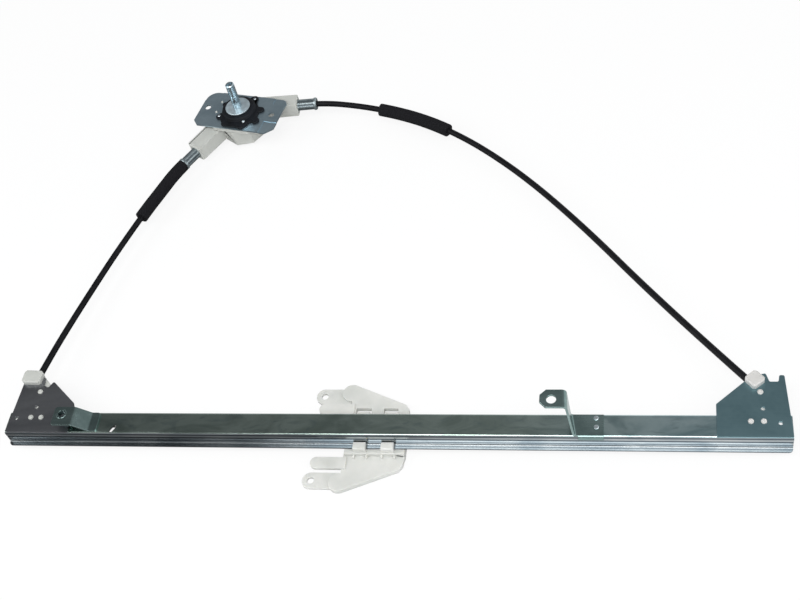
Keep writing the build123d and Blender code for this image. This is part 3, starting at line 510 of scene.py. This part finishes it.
# Where the cables leave the drum and where the conduits end, in millimetres
right_tangent = heading(RIGHT_OUTLET + 90) * PITCH_RADIUS + Vector((0, 0, RIGHT_HEIGHT))
left_tangent = heading(LEFT_OUTLET - 90) * PITCH_RADIUS + Vector((0, 0, LEFT_HEIGHT))
right_seat = Vector((506.8, -340.0, -14.0))
left_seat = Vector((-135.3, -338.6, -14.0))
RIGHT_ROUTE = [
    right_tangent + heading(RIGHT_OUTLET) * 68.0,
    right_tangent + heading(RIGHT_OUTLET) * 88.8,
    (127.0, 12.0, -12.8),
    (168.0, 0.3, -13.8),
    (205.0, -15.8, -14.7),
    (243.0, -40.0, -15.5),
    (281.0, -71.8, -16.0),
    (316.0, -106.6, -16.4),
    (348.0, -143.0, -16.6),
    (378.0, -179.8, -16.5),
    (415.7, -229.1, -16.0),
    right_seat + heading(RIGHT_EXIT) * 63.2,
    right_seat,
]
LEFT_ROUTE = [
    left_tangent + heading(LEFT_OUTLET) * 68.0,
    left_tangent + heading(LEFT_OUTLET) * 92.0,
    (-68.5, -96.0, -15.0),
    (-78.3, -119.5, -15.7),
    (-88.3, -148.5, -16.1),
    (-99.0, -182.0, -16.4),
    (-108.7, -217.0, -16.4),
    (-119.5, -261.0, -15.4),
    left_seat + heading(LEFT_EXIT) * 38.1,
    left_seat,
]


def conduit_curve(name, route):
    """A conduit along a NURBS curve whose control points are the route's."""
    curve = bpy.data.curves.new(name, "CURVE")
    curve.dimensions = "3D"
    spline = curve.splines.new("NURBS")
    spline.points.add(len(route) - 1)
    for point, place in zip(spline.points, route):
        point.co = (*(Vector(place) * MM), 1.0)
    spline.order_u = 3
    spline.use_endpoint_u = True
    spline.resolution_u = 12
    curve.bevel_depth = CONDUIT_RADIUS * MM
    curve.bevel_resolution = 5
    curve.use_fill_caps = True
    curve.materials.append(sheath)
    piece = bpy.data.objects.new(name, curve)
    scene.collection.objects.link(piece)
    return piece


def new_piece(name, mesh):
    """An object of the scene that shows a mesh."""
    piece = bpy.data.objects.new(name, mesh)
    scene.collection.objects.link(piece)
    return piece


def deselect():
    if bpy.context.object and bpy.context.object.mode != "OBJECT":
        bpy.ops.object.mode_set(mode="OBJECT")
    bpy.ops.object.select_all(action="DESELECT")


def take(piece):
    """Makes one piece the only selected and active one."""
    deselect()
    piece.select_set(True)
    bpy.context.view_layer.objects.active = piece


def apply_modifiers(piece):
    take(piece)
    for modifier in list(piece.modifiers):
        bpy.ops.object.modifier_apply(modifier=modifier.name)


def foam_sleeve(name, conduit, start, end):
    """A thick sleeve over a stretch of a conduit, with rounded ends."""
    curve = conduit.data.copy()
    curve.bevel_depth = FOAM_RADIUS * MM
    curve.bevel_resolution = 7
    curve.bevel_factor_mapping_start = "SPLINE"
    curve.bevel_factor_mapping_end = "SPLINE"
    curve.bevel_factor_start = start
    curve.bevel_factor_end = end
    holder = bpy.data.objects.new(name + "_line", curve)
    scene.collection.objects.link(holder)
    mesh = bpy.data.meshes.new_from_object(holder)
    bpy.data.objects.remove(holder)
    mesh.name = name
    piece = new_piece(name, mesh)
    mesh.materials.clear()
    mesh.materials.append(foam)
    take(piece)
    bpy.ops.object.mode_set(mode="EDIT")
    bpy.ops.mesh.select_all(action="SELECT")
    bpy.ops.mesh.remove_doubles(threshold=0.00005)
    bpy.ops.object.mode_set(mode="OBJECT")
    rounding = piece.modifiers.new("rounding", "BEVEL")
    rounding.limit_method = "ANGLE"
    rounding.angle_limit = math.radians(50)
    rounding.width = 0.0012
    rounding.segments = 3
    apply_modifiers(piece)
    bpy.ops.object.shade_smooth_by_angle(angle=math.radians(40))
    return piece


right_conduit = conduit_curve("conduit_to_right_end", RIGHT_ROUTE)
left_conduit = conduit_curve("conduit_to_left_end", LEFT_ROUTE)
right_sleeve = foam_sleeve("sleeve_on_right_conduit", right_conduit, 0.142, 0.281)
left_sleeve = foam_sleeve("sleeve_on_left_conduit", left_conduit, 0.042, 0.292)
for soft_piece, node_name, slot_name in (
    (right_conduit, "right_conduit", "black_sheath"),
    (left_conduit, "left_conduit", "black_sheath"),
    (right_sleeve, "right_foam_sleeve", "black_foam"),
    (left_sleeve, "left_foam_sleeve", "black_foam"),
):
    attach(soft_piece, "frame")
    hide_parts(node_name)


# Rounded edges

def round_edges(piece, width):
    """Rounds a piece's sharp edges and keeps its flat faces flat in the light."""
    rounding = piece.modifiers.new("rounding", "BEVEL")
    rounding.limit_method = "ANGLE"
    rounding.angle_limit = math.radians(40)
    rounding.width = width
    rounding.segments = 2
    rounding.use_clamp_overlap = False
    apply_modifiers(piece)
    bpy.ops.object.shade_smooth_by_angle(angle=math.radians(40))
    facing = piece.modifiers.new("facing", "WEIGHTED_NORMAL")
    facing.keep_sharp = True
    apply_modifiers(piece)


def softened(node_name, width, body="frame", reshape=None):
    """A copy of a CAD piece with rounded edges, which stands in for it.

    reshape moves the copy's corners, one vector at a time.
    """
    piece = new_piece(node_name + "_soft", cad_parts[node_name].data.copy())
    if reshape:
        for vertex in piece.data.vertices:
            reshape(vertex.co)
    take(piece)
    bpy.ops.object.mode_set(mode="EDIT")
    bpy.ops.mesh.select_all(action="SELECT")
    bpy.ops.mesh.remove_doubles(threshold=0.00001)
    bpy.ops.mesh.dissolve_limited(angle_limit=math.radians(0.5))
    bpy.ops.object.mode_set(mode="OBJECT")
    round_edges(piece, width)
    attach(piece, body)
    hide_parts(node_name)


def lean_the_tab(place):
    """Turns and leans the middle tab's upright, and shortens its foot and flap.

    near is 0 at the tab's far edge and 1 at its near one, and rise 0 on the web
    and 1 at the tab's top.
    """
    along = place.x - RAIL_MIDDLE
    across = place.y - RAIL_Y
    near = (TAB_FAR_EDGE - across) / TAB_WIDTH
    rise = min(1.0, max(0.0, (place.z - WEB_TOP) / MID_TAB_RISE))
    if along > FOOT_FROM:
        place.x -= FOOT_CUT
    elif UPRIGHT_TO < along < FLAP_TO:
        place.x -= FLAP_SHIFT
    elif UPRIGHT_FROM < along < UPRIGHT_TO:
        lean = (UPRIGHT_LEAN + UPRIGHT_TWIST * near) * rise
        place.x -= UPRIGHT_SHIFT - UPRIGHT_TURN * near + lean
    if across < NEAR_EDGE:
        place.y += NEAR_EDGE_SHIFT * rise
    if place.z < WEB_TOP - FLAP_DEPTH:
        place.z += FLAP_CUT


def cover_skirt():
    """The black cover's skirt between its lower lobes, down to the plate's near edge."""
    outline = SKIRT_CORNERS + [heading(angle).xy * SKIRT_RADIUS for angle in SKIRT_ARC]
    mesh = bpy.data.meshes.new("cover_skirt")
    places = [(x * MM, y * MM, SKIRT_BASE * MM) for x, y in outline]
    mesh.from_pydata(places, [], [range(len(places))])
    mesh.materials.append(cover_plastic)
    piece = new_piece("cover_skirt", mesh)
    take(piece)
    bpy.ops.object.mode_set(mode="EDIT")
    bpy.ops.mesh.select_all(action="SELECT")
    upwards = {"value": (0, 0, SKIRT_HEIGHT * MM)}
    bpy.ops.mesh.extrude_region_move(TRANSFORM_OT_translate=upwards)
    bpy.ops.mesh.select_all(action="SELECT")
    bpy.ops.mesh.normals_make_consistent()
    bpy.ops.object.mode_set(mode="OBJECT")
    round_edges(piece, 0.0003)
    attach(piece, "frame")


softened("drum_housing", 0.0005)
softened("left_guide", 0.0003)
softened("right_guide", 0.0003)
softened("carrier", 0.00025, body="carrier")
softened("brake_cover", 0.00025)
softened("left_bracket", 0.00015)
softened("right_bracket", 0.00015)
softened("left_tab", 0.0002)
softened("mid_tab", 0.0002, reshape=lean_the_tab)
cover_skirt()


# Floor and light

def stage_floor():
    """A white floor with the object's soft shadow, which metal mirrors darker towards -X."""
    middle = (RAIL_MIDDLE, RAIL_Y / 2, GROUND - FLOOR_GAP)
    bpy.ops.mesh.primitive_plane_add(size=FLOOR_SIZE, location=middle)
    floor = bpy.context.object
    floor.name = "floor"
    bpy.ops.object.transform_apply(location=True)
    made = Material("floor_paper")
    made.link("Base Color", colour(0.9, 0.9, 0.9))
    made.link("Roughness", 0.9)
    made.link("Specular IOR Level", 0.1)
    along = made.axes(made.place())[0]
    mirrored = along.ramp(0.1, 0.42) * (1.0 - DIM_FLOOR) + DIM_FLOOR
    strength = made.glossy() * (mirrored - 1.0) + 1.0
    glow = made.node("ShaderNodeEmission", {}, {"Color": colour(1, 1, 1), "Strength": strength})
    inputs = {0: made.seen() * FLOOR_GLOW, 1: made.shader.outputs[0], 2: glow.outputs[0]}
    blend = made.node("ShaderNodeMixShader", {}, inputs)
    output = made.tree.nodes["Material Output"]
    made.tree.links.new(blend.outputs[0], output.inputs["Surface"])
    floor.data.materials.append(made.material)


def soft_lamp(name, place, aim, size, power):
    """A white area lamp that faces its aim."""
    lamp = bpy.data.lights.new(name, "AREA")
    lamp.shape = "RECTANGLE"
    lamp.size, lamp.size_y = size
    lamp.energy = power
    holder = bpy.data.objects.new(name, lamp)
    scene.collection.objects.link(holder)
    holder.location = place
    holder.rotation_euler = (Vector(aim) - Vector(place)).to_track_quat("-Z", "Y").to_euler()


def studio_room():
    """A pale room whose ceiling is dark in reflections, lighter towards +X and the walls."""
    world = bpy.data.worlds.new("studio")
    scene.world = world
    world.use_nodes = True
    room = Shading(world.node_tree)
    across, _, up = room.axes(room.node("ShaderNodeTexCoord").outputs["Generated"])
    wall = up.ramp(0.7, 0.25)
    bright_side = across.ramp(-0.5, 0.1)
    mirrored = wall * (bright_side * 0.35 + 0.3) + bright_side * 0.2 + 0.11
    strength = room.glossy() * (mirrored - ROOM_STRENGTH) + ROOM_STRENGTH
    background = world.node_tree.nodes["Background"]
    background.inputs["Color"].default_value = colour(0.96, 0.98, 1.0)
    world.node_tree.links.new(strength.source, background.inputs["Strength"])


def light_the_scene():
    """A soft lamp over the object and one at each side."""
    middle = (RAIL_MIDDLE, -0.2, 0)
    soft_lamp("top", (0.3, -1.3, 1.9), middle, (1.6, 1.0), 26.0)
    soft_lamp("key", (-1.6, -0.9, 1.4), middle, (1.0, 1.0), 14.0)
    soft_lamp("fill", (1.8, -1.0, 1.2), middle, (1.2, 1.2), 10.0)


deselect()
stage_floor()
studio_room()
light_the_scene()
